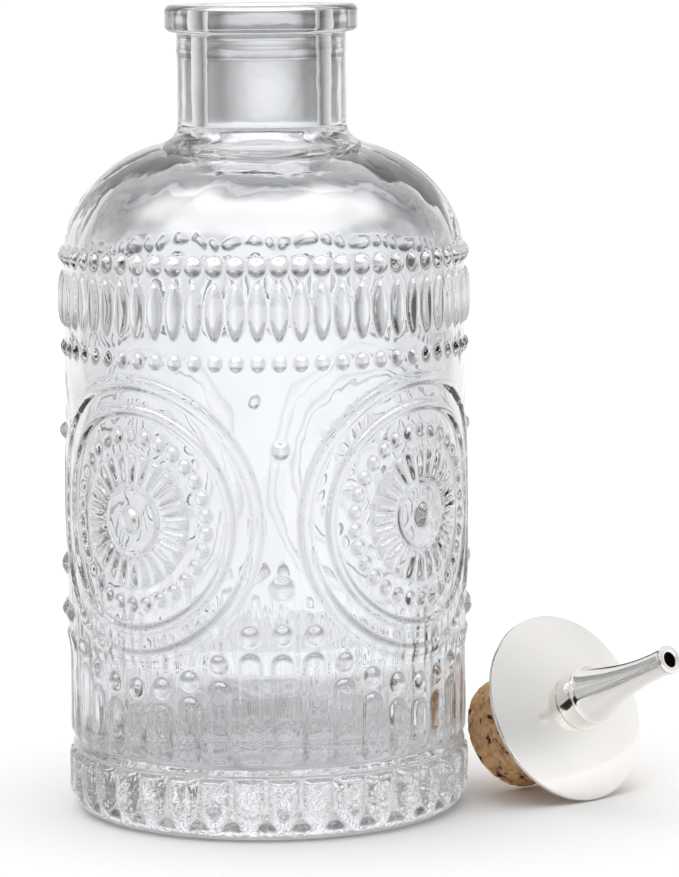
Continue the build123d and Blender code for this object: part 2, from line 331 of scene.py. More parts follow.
def close_poles(thing, poles, columns):
    """Fills the ends of a turned mesh with fans of triangles round their centre points."""
    mesh = thing.data
    old_loops = np.zeros(len(mesh.loops), np.int32)
    mesh.loops.foreach_get("vertex_index", old_loops)
    fans = []
    for first, centre, flip in poles:
        for i in range(columns):
            a, b = first + i, first + (i + 1) % columns
            fans.append((a, b, centre) if flip else (b, a, centre))
    fans = np.array(fans, np.int32)
    quads = len(mesh.polygons)
    mesh.loops.add(fans.size)
    mesh.loops.foreach_set("vertex_index", np.concatenate([old_loops, fans.ravel()]))
    mesh.polygons.add(len(fans))
    starts = np.concatenate([np.arange(quads) * 4, quads * 4 + np.arange(len(fans)) * 3])
    mesh.polygons.foreach_set("loop_start", starts.astype(np.int32))
    finish_mesh(mesh)


def arc(centre, radius, start, end, steps):
    """Points on an arc between two angles in degrees; radius may be a pair of semi-axes."""
    across, up = radius if isinstance(radius, tuple) else (radius, radius)
    angles = np.radians(np.linspace(start, end, steps + 1))
    return np.stack([centre[0] + across * np.cos(angles), centre[1] + up * np.sin(angles)], 1)


def blend_curve(start, start_way, end, end_way, steps):
    """Points on a smooth curve that leaves and arrives in given directions."""
    start, end = np.array(start), np.array(end)
    reach = np.linalg.norm(end - start)
    leave = np.array(start_way) / np.linalg.norm(start_way) * reach
    arrive = np.array(end_way) / np.linalg.norm(end_way) * reach
    t = np.linspace(0, 1, steps + 1)[:, None]
    return (
        (2 * t**3 - 3 * t**2 + 1) * start
        + (t**3 - 2 * t**2 + t) * leave
        + (3 * t**2 - 2 * t**3) * end
        + (t**3 - t**2) * arrive
    )


def line(start, end, spacing):
    """Points along a straight line at about even spacing."""
    start, end = np.array(start, float), np.array(end, float)
    steps = max(1, int(np.ceil(np.linalg.norm(end - start) / spacing)))
    return start + (end - start) * np.linspace(0, 1, steps + 1)[:, None]


def joined(*stretches):
    """One outline from stretches that meet, without the doubled points."""
    points = np.concatenate(stretches)
    apart = np.linalg.norm(np.diff(points, axis=0), axis=1) > 1e-6
    return points[np.concatenate([[True], apart])]


def rounded(corners, rounds, steps=6):
    """A closed outline through corners, each one rounded by its own radius."""
    corners = [np.array(c, float) for c in corners]
    points = []
    for i, corner in enumerate(corners):
        before, after = corners[i - 1], corners[(i + 1) % len(corners)]
        radius = rounds[i]
        if radius == 0:
            points.append(corner[None])
            continue
        to_before = (before - corner) / np.linalg.norm(before - corner)
        to_after = (after - corner) / np.linalg.norm(after - corner)
        half = math.acos(np.clip(to_before @ to_after, -1, 1)) / 2
        reach = radius / math.tan(half)
        inward = (to_before + to_after) / np.linalg.norm(to_before + to_after)
        middle = corner + inward * radius / math.sin(half)
        start, end = corner + to_before * reach, corner + to_after * reach
        first = math.atan2(*(start - middle)[::-1])
        turn = math.atan2(*(end - middle)[::-1]) - first
        turn = (turn + math.pi) % (2 * math.pi) - math.pi
        angles = first + turn * np.linspace(0, 1, steps + 1)
        points.append(middle + radius * np.stack([np.cos(angles), np.sin(angles)], 1))
    return np.concatenate(points)


def smooth_step(low, high, x):
    """0 below one value and 1 above another, with a smooth rise between them."""
    t = np.clip((x - low) / (high - low), 0, 1)
    return t * t * (3 - 2 * t)


def within(fade_in, fade_out, x):
    """1 between two stretches, and falling to 0 over each of them."""
    return smooth_step(*fade_in, x) * (1 - smooth_step(*fade_out, x))


def dome(q):
    """A round cushion: 1 where q is 0, and 0 from q of 1 outwards."""
    return np.clip(1 - q**2, 0, 1)


def plateau(inside, edge):
    """0 outside a shape, and rising over the width of its edge to 1 inside it."""
    t = np.clip(inside / edge, 0, 1)
    return t * (2 - t)


def highest(*reliefs):
    """The relief of several forms together: the highest of them at each place."""
    total = reliefs[0]
    for relief in reliefs[1:]:
        total = np.maximum(total, relief)
    return total


def from_spoke(angle, out, count):
    """How far a place is, along its circle, from the nearest of evenly spaced spokes."""
    return np.radians((angle + 180 / count) % (360 / count) - 180 / count) * out


def nearest(bearing, count, turn=ORNAMENT_TURN):
    """How far each bearing is, in mm round the wall, from the nearest of evenly spaced lines."""
    return from_spoke(bearing - turn, BODY_RADIUS, count)


def wall_radius(height):
    """The plain wall's radius under the ornament."""
    heel_share = 1 - smooth_step(*HEEL_TOP, height)
    body_share = smooth_step(*WAIST_TOP, height)
    return (
        WAIST_RADIUS
        + (HEEL_RADIUS - WAIST_RADIUS) * heel_share
        + (BODY_RADIUS - WAIST_RADIUS) * body_share
    )


def band(bearing, height):
    """The two rows of beads with the row of petals between them."""
    across = nearest(bearing, BAND_COUNT)
    beads = [
        relief * dome(np.hypot(across, height - middle) / radius)
        for middle, radius, relief in BEAD_ROWS
    ]
    in_plan, sideways, endways = PETAL_FULLNESS
    length_left = 1 - ((height - PETAL_HEIGHT) / PETAL_HALF_LENGTH) ** 2
    half_width = PETAL_HALF_WIDTH * np.clip(length_left, 1e-6, 1) ** in_plan
    petal = dome(across / half_width) ** sideways * np.clip(length_left, 0, 1) ** endways
    return highest(*beads, PETAL_RELIEF * petal)


def rosette(along, up):
    """A medallion, from distances along the wall and up from its centre."""
    out = np.hypot(along, up)
    angle = np.degrees(np.arctan2(along, up))
    rings = [relief * dome((out - radius) / half_width) for radius, half_width, relief in RINGS]

    count, circle, radius, relief = ROSETTE_BEADS
    beads = relief * dome(np.hypot(out - circle, from_spoke(angle, out, count)) / radius)

    count, inner, outer, relief, share = ROSETTE_PETALS
    middle, reach = (inner + outer) / 2, (outer - inner) / 2
    half_width = np.maximum(np.radians(180 / count) * out * share, 0.01)
    petal = dome(np.abs(from_spoke(angle, out, count)) / half_width)
    petal = petal * dome(((out - middle) / reach) ** 2)
    petals = relief * petal**ROSETTE_PETAL_FULLNESS

    disc_radius, disc_relief, disc_edge = ROSETTE_DISC
    disc = disc_relief * plateau(disc_radius - out, disc_edge)
    boss_radius, boss_relief = BOSS
    boss = np.where(out < boss_radius, disc_relief + boss_relief * dome(out / boss_radius), 0)
    return highest(*rings, beads, petals, disc, boss)


def swag_line(along):
    """The height at which the swag under a medallion passes, at a distance from its middle."""
    return MEDALLION_HEIGHT - np.sqrt(np.maximum(SWAG_CIRCLE**2 - along**2, 0))


def swag(from_medallion, height):
    """The row of beads that hangs under a medallion, one over each rib."""
    radius, relief = SWAG_BEAD
    beads = []
    for i in range(SWAG_BEADS):
        along = (i - (SWAG_BEADS - 1) / 2) * RIB_PITCH
        distance = np.hypot(from_medallion - along, height - swag_line(along))
        beads.append(relief * dome(distance / radius))
    return highest(*beads)


def gap_dots(bearing, height):
    """The dots one above another between two medallions."""
    from_gap = nearest(bearing, MEDALLION_COUNT)
    dots = [dome(np.hypot(from_gap, height - middle) / radius) for middle, radius in GAP_DOTS]
    return GAP_DOT_RELIEF * highest(*dots)


def ribs(bearing, from_medallion, height):
    """The ribs, whose round heads end under the swag's beads or under the lowest dot."""
    across = nearest(bearing, RIB_COUNT)
    rib_along = np.round(from_medallion / RIB_PITCH) * RIB_PITCH
    under_swag = swag_line(rib_along) - SWAG_BEAD[0] - SWAG_GAP
    under_dots = min(middle for middle, _ in GAP_DOTS) - RIB_UNDER_DOT
    past_swag = np.abs(rib_along) > SWAG_BEADS / 2 * RIB_PITCH
    top = np.where(past_swag, under_dots, under_swag)
    above_head = np.maximum(height - (top - RIB_HALF_WIDTH), 0)
    inside = RIB_HALF_WIDTH - np.hypot(across, above_head)
    foot = smooth_step(-RIB_END, RIB_END, height - RIB_BOTTOM)
    return RIB_RELIEF * plateau(inside, RIB_EDGE) * foot


def heel_tongues(bearing, height):
    """The tongues round the heel, and the depth of the grooves that part them."""
    across = nearest(bearing, SCALLOP_COUNT)
    below_straight = np.maximum(SCALLOP_BOTTOM + SCALLOP_TONGUE - height, 0)
    below_straight = below_straight * SCALLOP_HALF_WIDTH / SCALLOP_TONGUE
    inside = SCALLOP_HALF_WIDTH - np.hypot(across, below_straight)
    tongue = plateau(inside, SCALLOP_EDGE) * smooth_step(0, SCALLOP_END, SCALLOP_TOP - height)
    groove_rise = smooth_step(SCALLOP_BOTTOM, SCALLOP_BOTTOM + GROOVE_START, height)
    groove = SCALLOP_GROOVE * groove_rise * (height < SCALLOP_TOP)
    return (SCALLOP_RELIEF + groove) * tongue, groove


def ornament(bearing, height):
    """The relief of the pressed ornament over the plain wall."""
    half_turn = 180 / MEDALLION_COUNT
    from_medallion = nearest(bearing, MEDALLION_COUNT, ORNAMENT_TURN + half_turn)
    tongues, groove = heel_tongues(bearing, height)
    relief = highest(
        band(bearing, height),
        rosette(from_medallion, height - MEDALLION_HEIGHT),
        swag(from_medallion, height),
        gap_dots(bearing, height),
        ribs(bearing, from_medallion, height),
        tongues,
    )
    return relief - groove


def ripple(bearing, height, waves, depth, seed):
    """A few long waves that run round and up the glass."""
    draw = np.random.default_rng(seed)
    total = np.zeros_like(bearing + height)
    for _ in range(waves):
        turns = draw.integers(*RIPPLE_TURNS)
        lean = draw.uniform(-RIPPLE_LEAN, RIPPLE_LEAN)
        phase = draw.uniform(0, 2 * np.pi)
        total = total + np.sin(np.radians(bearing) * turns + height * lean + phase)
    return depth * total / math.sqrt(waves)


def streaks(bearing, height, waves, depth, seed):
    """Upright streaks: many narrow waves round the wall that lean only a little."""
    draw = np.random.default_rng(seed)
    total = np.zeros_like(bearing + height)
    for _ in range(waves):
        turns = draw.integers(*STREAK_TURNS)
        lean = draw.uniform(-STREAK_LEAN, STREAK_LEAN)
        swell_pace = draw.uniform(*STREAK_SWELL_PACE)
        swell_phase = draw.uniform(0, 2 * np.pi)
        phase = draw.uniform(0, 2 * np.pi)
        swell = 1 + STREAK_SWELL * np.sin(height * swell_pace + swell_phase)
        total = total + swell * np.sin(np.radians(bearing) * turns + height * lean + phase)
    return depth * total / math.sqrt(waves)


def waves_across(points_x, points_y, shortest, longest, waves, depth, seed):
    """Unevenness over a stretch, as a sum of waves of many lengths and directions."""
    draw = np.random.default_rng(seed)
    total = np.zeros_like(points_x + points_y)
    for _ in range(waves):
        turn = draw.uniform(0, 2 * np.pi)
        pace = 2 * np.pi / draw.uniform(shortest, longest)
        phase = draw.uniform(0, 2 * np.pi)
        along = points_x * math.cos(turn) + points_y * math.sin(turn)
        total = total + np.sin(along * pace + phase)
    return depth * total / math.sqrt(waves)


def rippling(bearing, radius, height, on_outside):
    """The ripples of the inside and of the shoulder, which fade out towards the neck."""
    inner = smooth_step(*INNER_RIPPLE_IN, radius) * ripple(bearing, height, *INNER_RIPPLE)
    outer = smooth_step(*SHOULDER_RIPPLE_IN, radius) * ripple(bearing, height, *SHOULDER_RIPPLE)
    on_shoulder = on_outside & (height > SHOULDER_RIPPLE_ABOVE)
    return np.where(on_outside, 0, inner) + np.where(on_shoulder, outer, 0)


def floor_waves(angle, radius, height):
    """The waves of the underside and of the inner floor."""
    share = within(FLOOR_WAVES_IN, FLOOR_WAVES_OUT, radius) * (height < FLOOR_WAVES_BELOW)
    return share * waves_across(radius * np.sin(angle), -radius * np.cos(angle), *FLOOR_WAVES)


def heel_swirls(bearing, height):
    """Swirls in the heel, fainter in the ribs, that run into each other where the turn closes."""
    turn = 2 * np.pi * BODY_RADIUS
    along = np.radians(bearing) * BODY_RADIUS
    closing = smooth_step(turn - SWIRLS_CLOSING, turn, along)
    first, second = (waves_across(x, height, *HEEL_SWIRLS) for x in (along, along - turn))
    strength = 1 - SWIRLS_WEAKER_BY * smooth_step(*SWIRLS_WEAKEN, height)
    return (first * (1 - closing) + second * closing) * strength


def wall_marks(bearing, radius, height, on_outside, on_wall):
    """The swirls and upright streaks of the heel and the waist."""
    swirled = within(SWIRLS_IN, SWIRLS_OUT, height)
    streaked = within(STREAKS_IN, STREAKS_OUT, height)
    on_inner_wall = ~on_outside & (radius > BODY_RADIUS - SIDE_WALL - 1)
    return (
        swirled * on_wall * heel_swirls(bearing, height)
        + streaked * on_inner_wall * streaks(bearing, height, *INNER_STREAKS)
        + streaked * on_wall * streaks(bearing, height, *OUTER_STREAKS)
    )


def outer_outline():
    """Out from under the bottle's middle, up its outside and over the lip to the bore."""
    flat_end = (PUSH_UP_RADIUS - PUSH_UP_DEPTH - FOOT_ROUND, PUSH_UP_DEPTH)
    foot = (PUSH_UP_RADIUS + FOOT_ROUND, 0)
    underside = joined(
        line((0.0, PUSH_UP_DEPTH), flat_end, FLOOR_ROW),
        blend_curve(flat_end, (1, 0), foot, (1, 0), 8),
        line(foot, (HEEL_RADIUS - HEEL_ROUND, 0), 1.0),
        arc((HEEL_RADIUS - HEEL_ROUND, HEEL_ROUND), HEEL_ROUND, -90, 0, 16),
    )
    wall_rows = int((SHOULDER_FOOT - HEEL_ROUND) / ORNAMENT_ROW)
    wall_heights = np.linspace(HEEL_ROUND, SHOULDER_FOOT, wall_rows)
    wall = np.stack([wall_radius(wall_heights), wall_heights], 1)

    # The shoulder is finer where the upper beads reach on to it
    centre = (BODY_RADIUS - SHOULDER_REACH, SHOULDER_FOOT)
    axes = (SHOULDER_REACH, SHOULDER_RISE)
    beads_end = 12.0
    end = math.degrees(math.acos((NECK_RADIUS + NECK_BLEND - centre[0]) / SHOULDER_REACH))
    shoulder = joined(arc(centre, axes, 0, beads_end, 16), arc(centre, axes, beads_end, end, 40))

    neck_foot = (NECK_RADIUS, shoulder[-1][1] + NECK_BLEND_RISE)
    lip_bottom = BOTTLE_HEIGHT - LIP_HEIGHT
    fillet_start = (NECK_RADIUS, lip_bottom - LIP_FILLET)
    fillet_middle = (NECK_RADIUS + LIP_FILLET, lip_bottom - LIP_FILLET)
    lip_middle = LIP_RADIUS - LIP_ROUND
    mouth_middle = (BORE_RADIUS + MOUTH_ROUND, BOTTLE_HEIGHT - MOUTH_ROUND)
    return joined(
        underside,
        wall,
        shoulder,
        blend_curve(shoulder[-1], shoulder[-1] - shoulder[-2], neck_foot, (0, 1), 10),
        line(neck_foot, fillet_start, PLAIN_ROW),
        arc(fillet_middle, LIP_FILLET, 180, 90, 5),
        arc((lip_middle, lip_bottom + LIP_ROUND), LIP_ROUND, -90, 0, 8),
        arc((lip_middle, BOTTLE_HEIGHT - LIP_ROUND), LIP_ROUND, 0, 90, 8),
        arc(mouth_middle, MOUTH_ROUND, 90, 180, 8),
    )


def inner_outline():
    """Down the bore, the throat and the inner wall, and in across the floor."""
    radius = BODY_RADIUS - SIDE_WALL
    centre = (BODY_RADIUS - SHOULDER_REACH, SHOULDER_FOOT)
    axes = (radius - centre[0], SHOULDER_RISE - SHOULDER_WALL)
    end = math.degrees(math.acos((THROAT_RADIUS - centre[0]) / axes[0]))
    shoulder = arc(centre, axes, end, 0, 36)
    throat = (BORE_RADIUS, shoulder[0][1] + THROAT_RISE)
    corner_height = FLOOR_THICKNESS + FLOOR_ROUND
    floor_end = (radius - FLOOR_ROUND, FLOOR_THICKNESS)
    return joined(
        line((BORE_RADIUS, BOTTLE_HEIGHT - MOUTH_ROUND), throat, PLAIN_ROW),
        blend_curve(throat, (0, -1), shoulder[0], shoulder[1] - shoulder[0], 12),
        shoulder,
        line((radius, SHOULDER_FOOT), (radius, corner_height), PLAIN_ROW),
        arc((radius - FLOOR_ROUND, corner_height), FLOOR_ROUND, 0, -90, 18),
        line(floor_end, (0.0, FLOOR_THICKNESS + FLOOR_CROWN), FLOOR_ROW),
    )


def glass_bottle(material):
    """The bottle: its outline turned, with the ornament and the marks of pressing on it."""
    outside, inside = outer_outline(), inner_outline()
    outline = joined(outside, inside)[1:-1]
    bearing = (np.arange(COLUMNS) * 360 / COLUMNS)[None, :]
    radius = np.repeat(outline[:, :1], COLUMNS, 1)
    height = np.repeat(outline[:, 1:], COLUMNS, 1)
    on_outside = np.arange(len(outline))[:, None] < len(outside) - 1
    on_wall = on_outside & (height > WALL_BOTTOM) & (height < WALL_TOP)
    on_wall = on_wall & (radius > WALL_LEAST_RADIUS)

    relief = ornament(bearing, height) * smooth_step(WALL_BOTTOM, WALL_FULL_RELIEF, height)
    radius = radius + np.where(on_wall, relief, 0)
    radius = radius + rippling(bearing, radius, height, on_outside)
    ring_height, ring_half_width, ring_relief = NECK_RING
    ring = ring_relief * dome((height - ring_height) / ring_half_width)
    radius = radius + np.where(on_outside, ring, 0)

    angle = np.radians(bearing)
    height = height + floor_waves(angle, radius, height)
    radius = radius + wall_marks(bearing, radius, height, on_outside, on_wall)
    points = np.stack([radius * np.sin(angle), -radius * np.cos(angle), height], -1)
    points = points.reshape(-1, 3)
    last_row, count = len(points) - COLUMNS, len(points)
    points = np.concatenate([points, [[0, 0, outside[0][1]], [0, 0, inside[-1][1]]]])
    faces = ring_faces(len(outline), COLUMNS, closed=False)
    thing = object_of("bottle_glass", points * MM, faces, material)
    close_poles(thing, [(0, count, False), (last_row, count + 1, True)], COLUMNS)
    return thing


def stopper_frame():
    """The stopper's own axes: aside, the way it points, and across, about its rim's centre."""
    bearing = math.radians(STOPPER_BEARING)
    aside = Vector((math.cos(bearing), math.sin(bearing), 0))
    level = Vector((math.sin(bearing), -math.cos(bearing), 0))
    pointing = level * math.cos(TILT) + Vector((0, 0, math.sin(TILT)))
    centre = Vector((STOPPER_X, STOPPER_Y, DISC_RADIUS * math.cos(TILT)))
    return centre, aside, pointing, aside.cross(pointing)


def turned(name, outline, material, sides, wobble=None):
    """A closed outline, as distances from the stopper's axis and heights, turned about it."""
    centre, aside, pointing, across = (np.array(v) for v in stopper_frame())
    angle = np.arange(sides) * 2 * np.pi / sides
    radius = np.repeat(outline[:, :1], sides, 1)
    height = np.repeat(outline[:, 1:], sides, 1)
    if wobble:
        radius = wobble(radius, height, angle[None, :])
    spoke = np.cos(angle)[:, None] * aside + np.sin(angle)[:, None] * across
    points = centre + radius[..., None] * spoke + height[..., None] * pointing
    faces = ring_faces(len(outline), sides, closed=True)[:, ::-1]
    return object_of(name, points.reshape(-1, 3) * MM, faces, material)


def crown_height(radius, shell=0.0):
    """The height of the disc's crown, or of its underside, at a distance from the axis."""
    centre = DISC_RIM - math.sqrt(CROWN_RADIUS**2 - DISC_RADIUS**2)
    return centre + np.sqrt((CROWN_RADIUS - shell) ** 2 - np.asarray(radius, float) ** 2)


COLLAR_SEAT = float(crown_height(COLLAR_RADIUS))
CORK_SEAT = float(crown_height(CORK_TOP_RADIUS, DISC_SHELL))


def cap_disc(material):
    """The domed disc, with its rounded rim and its hole."""
    top_radii = np.linspace(DISC_RADIUS - DISC_EDGE, COLLAR_RADIUS, 28)
    under_radii = np.linspace(HOLE_RADIUS, DISC_RADIUS - DISC_SHELL, 20)
    beyond_edge = DISC_RADIUS - 3 * DISC_EDGE
    rim_corners = [
        (DISC_RADIUS - DISC_SHELL, 0),
        (DISC_RADIUS, 0),
        (DISC_RADIUS, DISC_RIM),
        (beyond_edge, float(crown_height(beyond_edge))),
    ]
    outline = joined(
        rounded(rim_corners, [*DISC_FOOT_ROUNDS, DISC_EDGE, 0])[:-1],
        np.stack([top_radii, crown_height(top_radii)], 1),
        [(HOLE_RADIUS, COLLAR_SEAT)],
        np.stack([under_radii, crown_height(under_radii, DISC_SHELL)], 1),
    )
    return turned("cap_disc_polished", outline, material, DISC_SIDES)


def spout(material, inside_material):
    """The collar and the flared nozzle, with a duller finish and painted shade inside."""
    collar_top = COLLAR_SEAT + COLLAR_HEIGHT
    foot_radius = COLLAR_RADIUS - SPOUT_FOOT_STEP
    seat = COLLAR_SEAT + COLLAR_GAP
    base_corners = [
        (HOLE_RADIUS, seat),
        (COLLAR_RADIUS, seat),
        (COLLAR_RADIUS, collar_top),
        (foot_radius - COLLAR_SLOPE[0], collar_top + COLLAR_SLOPE[1]),
    ]
    base = rounded(base_corners, [0, COLLAR_EDGE, COLLAR_EDGE, 0])[:-1]

    # One arc narrows from the collar to the waist and opens again to the tip
    waist_height = SPOUT_REACH - SPOUT_WAIST_BACK
    drop, draw = waist_height - collar_top, foot_radius - SPOUT_WAIST_RADIUS
    arc_radius = (drop**2 + draw**2) / (2 * draw)
    start = 180 + math.degrees(math.asin(drop / arc_radius))
    end = 180 - math.degrees(math.asin((SPOUT_WAIST_BACK - 2 * TIP_BEAD) / arc_radius))
    flare_middle = (SPOUT_WAIST_RADIUS + arc_radius, waist_height)
    flare = arc(flare_middle, arc_radius, start, end, 40)
    bead_middle = (flare[-1][0] - TIP_BEAD * TIP_BEAD_OVERLAP, SPOUT_REACH - TIP_BEAD)
    bead = arc(bead_middle, (TIP_BEAD * TIP_BEAD_WIDTH, TIP_BEAD), -35, 180, 18)

    socket_top = COLLAR_SEAT + TUBE_SOCKET + CLEARANCE
    bore = [
        (TIP_HOLE_RADIUS, SPOUT_REACH - TIP_HOLE_START),
        (TIP_HOLE_RADIUS, SPOUT_REACH - TIP_HOLE_DEPTH),
        (TUBE_RADIUS - TUBE_WALL, socket_top),
        (HOLE_RADIUS, socket_top),
    ]
    outline = joined(base, flare[1:], bead, bore)
    thing = turned("pouring_spout", outline, material, SPOUT_SIDES)

    # The bore's faces take the near-black steel, which paints the shade inside it
    radii, heights = outline[:, 0], outline[:, 1]
    in_bore = (radii < HOLE_RADIUS + 0.01) & (heights < SPOUT_REACH - SHADED_BORE_BELOW_TIP)
    in_bore = in_bore & (heights > collar_top)
    in_bore = in_bore & (np.arange(len(outline)) > len(base) + len(flare))
    which_material = np.repeat(in_bore, SPOUT_SIDES).astype(np.int32)
    thing.data.materials.append(inside_material)
    thing.data.polygons.foreach_set("material_index", which_material)
    return thing


def pitted(radius, height, angle):
    """The cork's radius with its roughness and its pits, which the hole is spared."""
    draw = np.random.default_rng(12)
    rough = np.zeros_like(radius + angle)
    for _ in range(PIT_WAVES):
        turns = draw.integers(*PIT_TURNS)
        rise = draw.uniform(-PIT_RISE, PIT_RISE)
        phase = draw.uniform(0, 6.28)
        rough = rough + np.sin(angle * turns + height * rise + radius * rise + phase) / 5
    pits = np.clip(rough - PIT_LEVEL, 0, PIT_LIMIT)
    outside_hole = radius > CORK_HOLE_LIMIT
    return radius - outside_hole * (PIT_DEPTH * pits + CORK_ROUGHNESS * rough)


def cork(material):
    """The tapered cork, with pits in its sides."""
    top = CORK_SEAT - CORK_GAP
    corners = [
        (HOLE_RADIUS, -CORK_REACH),
        (CORK_END_RADIUS, -CORK_REACH),
        (CORK_TOP_RADIUS, top),
        (HOLE_RADIUS, top),
    ]
    outline = rounded(corners, [0, *CORK_ROUNDS, 0], 8)
    dense = [line(a, b, CORK_ROW)[:-1] for a, b in zip(outline, np.roll(outline, -1, 0))]
    return turned("tapered_cork", np.concatenate(dense), material, CORK_SIDES, wobble=pitted)


def stem_tube(material):
    """The tube through the cork and the disc into the spout's socket."""
    low, high = -CORK_REACH - TUBE_PROUD, COLLAR_SEAT + TUBE_SOCKET
    inner = TUBE_RADIUS - TUBE_WALL
    corners = [(inner, low), (TUBE_RADIUS, low), (TUBE_RADIUS, high), (inner, high)]
    outline = rounded(corners, [TUBE_EDGE] * 4)
    return turned("steel_stem_tube", outline, material, TUBE_SIDES)


class Field:
    """A number or colour that a node makes, which plus, minus and times work on."""

    def __init__(self, socket):
        self.socket = socket
        self.tree = socket.id_data

    def combined(self, operation, first, second=0.0):
        node = self.tree.nodes.new("ShaderNodeMath")
        node.operation = operation
        plug(first, node.inputs[0])
        plug(second, node.inputs[1])
        return Field(node.outputs["Value"])

    def __add__(self, other):
        return self.combined("ADD", self, other)

    def __sub__(self, other):
        return self.combined("SUBTRACT", self, other)

    def __rsub__(self, other):
        return self.combined("SUBTRACT", other, self)

    def __mul__(self, other):
        return self.combined("MULTIPLY", self, other)

    def __neg__(self):
        return 0.0 - self

    __radd__, __rmul__ = __add__, __mul__

    def at_least(self, other):
        return self.combined("MAXIMUM", self, other)

    def absolute(self):
        return self.combined("ABSOLUTE", self)

    def root(self):
        return self.combined("SQRT", self)


def plug(value, socket):
    """Gives a socket its value: a constant, or what another node makes."""
    if isinstance(value, Field):
        value.tree.links.new(value.socket, socket)
    else:
        socket.default_value = value


def new_material(name):
    """A new material, its tree and its shader."""
    material = bpy.data.materials.new(name)
    material.use_nodes = True
    tree = material.node_tree
    return material, tree, tree.nodes["Principled BSDF"]


def noise(tree, scale, detail=3.0, roughness=0.5, distortion=0.0):
    """A noise texture that is fixed to the object, with its size given per metre."""
    place = tree.nodes.new("ShaderNodeTexCoord")
    texture = tree.nodes.new("ShaderNodeTexNoise")
    texture.inputs["Distortion"].default_value = distortion
    texture.inputs["Scale"].default_value = scale
    texture.inputs["Detail"].default_value = detail
    texture.inputs["Roughness"].default_value = roughness
    tree.links.new(place.outputs["Object"], texture.inputs["Vector"])
    return Field(texture.outputs["Fac"])


def eased(source, low, high):
    """0 below a value and 1 above another, with a smooth rise between them."""
    node = source.tree.nodes.new("ShaderNodeMapRange")
    node.interpolation_type = "SMOOTHSTEP"
    node.inputs["From Min"].default_value = low
    node.inputs["From Max"].default_value = high
    plug(source, node.inputs["Value"])
    return Field(node.outputs["Result"])


def ranged(source, low, high):
    """A number from 0 to 1 spread out between two values."""
    node = source.tree.nodes.new("ShaderNodeMapRange")
    node.inputs["To Min"].default_value = low
    node.inputs["To Max"].default_value = high
    plug(source, node.inputs["Value"])
    return Field(node.outputs["Result"])


def picked(choice, first, second):
    """The first number where the choice is 0, and the second where it is 1."""
    node = choice.tree.nodes.new("ShaderNodeMix")
    plug(choice, node.inputs["Factor"])
    plug(first, node.inputs["A"])
    plug(second, node.inputs["B"])
    return Field(node.outputs["Result"])


def split_up(tree, kind):
    """The three coordinates of a place or, for the world, of a direction."""
    place = tree.nodes.new("ShaderNodeTexCoord")
    split = tree.nodes.new("ShaderNodeSeparateXYZ")
    tree.links.new(place.outputs[kind], split.inputs["Vector"])
    return [Field(split.outputs[axis]) for axis in "XYZ"]


def ramp(source, stops):
    """A colour for each value, from stops with their places and colours."""
    node = source.tree.nodes.new("ShaderNodeValToRGB")
    elements = node.color_ramp.elements
    while len(elements) < len(stops):
        elements.new(0.5)
    for element, (place, colour) in zip(elements, stops):
        element.position = place
        element.color = (*colour, 1)
    plug(source, node.inputs["Fac"])
    return Field(node.outputs["Color"])


def bump(shader, source, strength, distance):
    """Makes a shader's surface look uneven by up to a distance in metres."""
    node = source.tree.nodes.new("ShaderNodeBump")
    node.inputs["Strength"].default_value = strength
    node.inputs["Distance"].default_value = distance
    plug(source, node.inputs["Height"])
    plug(Field(node.outputs["Normal"]), shader.inputs["Normal"])


def clear_glass():
    """Clear glass, slightly uneven, with tight swirls in its heel.

    A roughness of exactly 0 makes its mirror rays singular, which the studio tells apart.
    """
    material, tree, shader = new_material("clear_pressed_glass")
    shader.inputs["Base Color"].default_value = (0.955, 0.96, 0.965, 1)
    shader.inputs["Transmission Weight"].default_value = 1
    shader.inputs["IOR"].default_value = 1.5
    shader.inputs["Roughness"].default_value = 0
    height = split_up(tree, "Object")[2]
    in_heel = 1.0 - eased(height, 0.010, 0.0125)
    swirls = noise(tree, 230, 1.5, distortion=3.5) * in_heel * 2.2
    bump(shader, noise(tree, 160, 2) + swirls, 0.25, 0.0003)
    return material


def metal(name, grain, dark, pale):
    """A bare metal whose colour varies between two, and its tree and shader."""
    material, tree, shader = new_material(name)
    shader.inputs["Metallic"].default_value = 1
    colour = ramp(noise(tree, grain, 2), [(0.3, dark), (0.7, pale)])
    plug(colour, shader.inputs["Base Color"])
    return material, tree, shader


def polished_steel():
    """Mirror-polished steel, slightly uneven in gloss and colour."""
    material, tree, shader = metal(
        "mirror_polished_steel", 60, (0.86, 0.84, 0.81), (0.92, 0.90, 0.87)
    )
    plug(ranged(noise(tree, 220, 4), 0.06, 0.14), shader.inputs["Roughness"])
    bump(shader, noise(tree, 900, 3), 0.06, 0.0001)
    return material


def tube_steel():
    """Drawn steel, duller than the polished pieces."""
    material, tree, shader = metal(
        "drawn_steel_tube", 120, (0.66, 0.65, 0.63), (0.78, 0.77, 0.75)
    )
    plug(ranged(noise(tree, 500, 4), 0.2, 0.35), shader.inputs["Roughness"])
    return material


def bore_steel():
    """The spout's inside: duller steel, its colour painted nearly black as the shade in the bore.
    """
    material, _, shader = metal(
        "bore_steel_dull_and_painted_shade", 900, (0.06, 0.055, 0.05), (0.14, 0.13, 0.12)
    )
    shader.inputs["Roughness"].default_value = 0.5
    return material


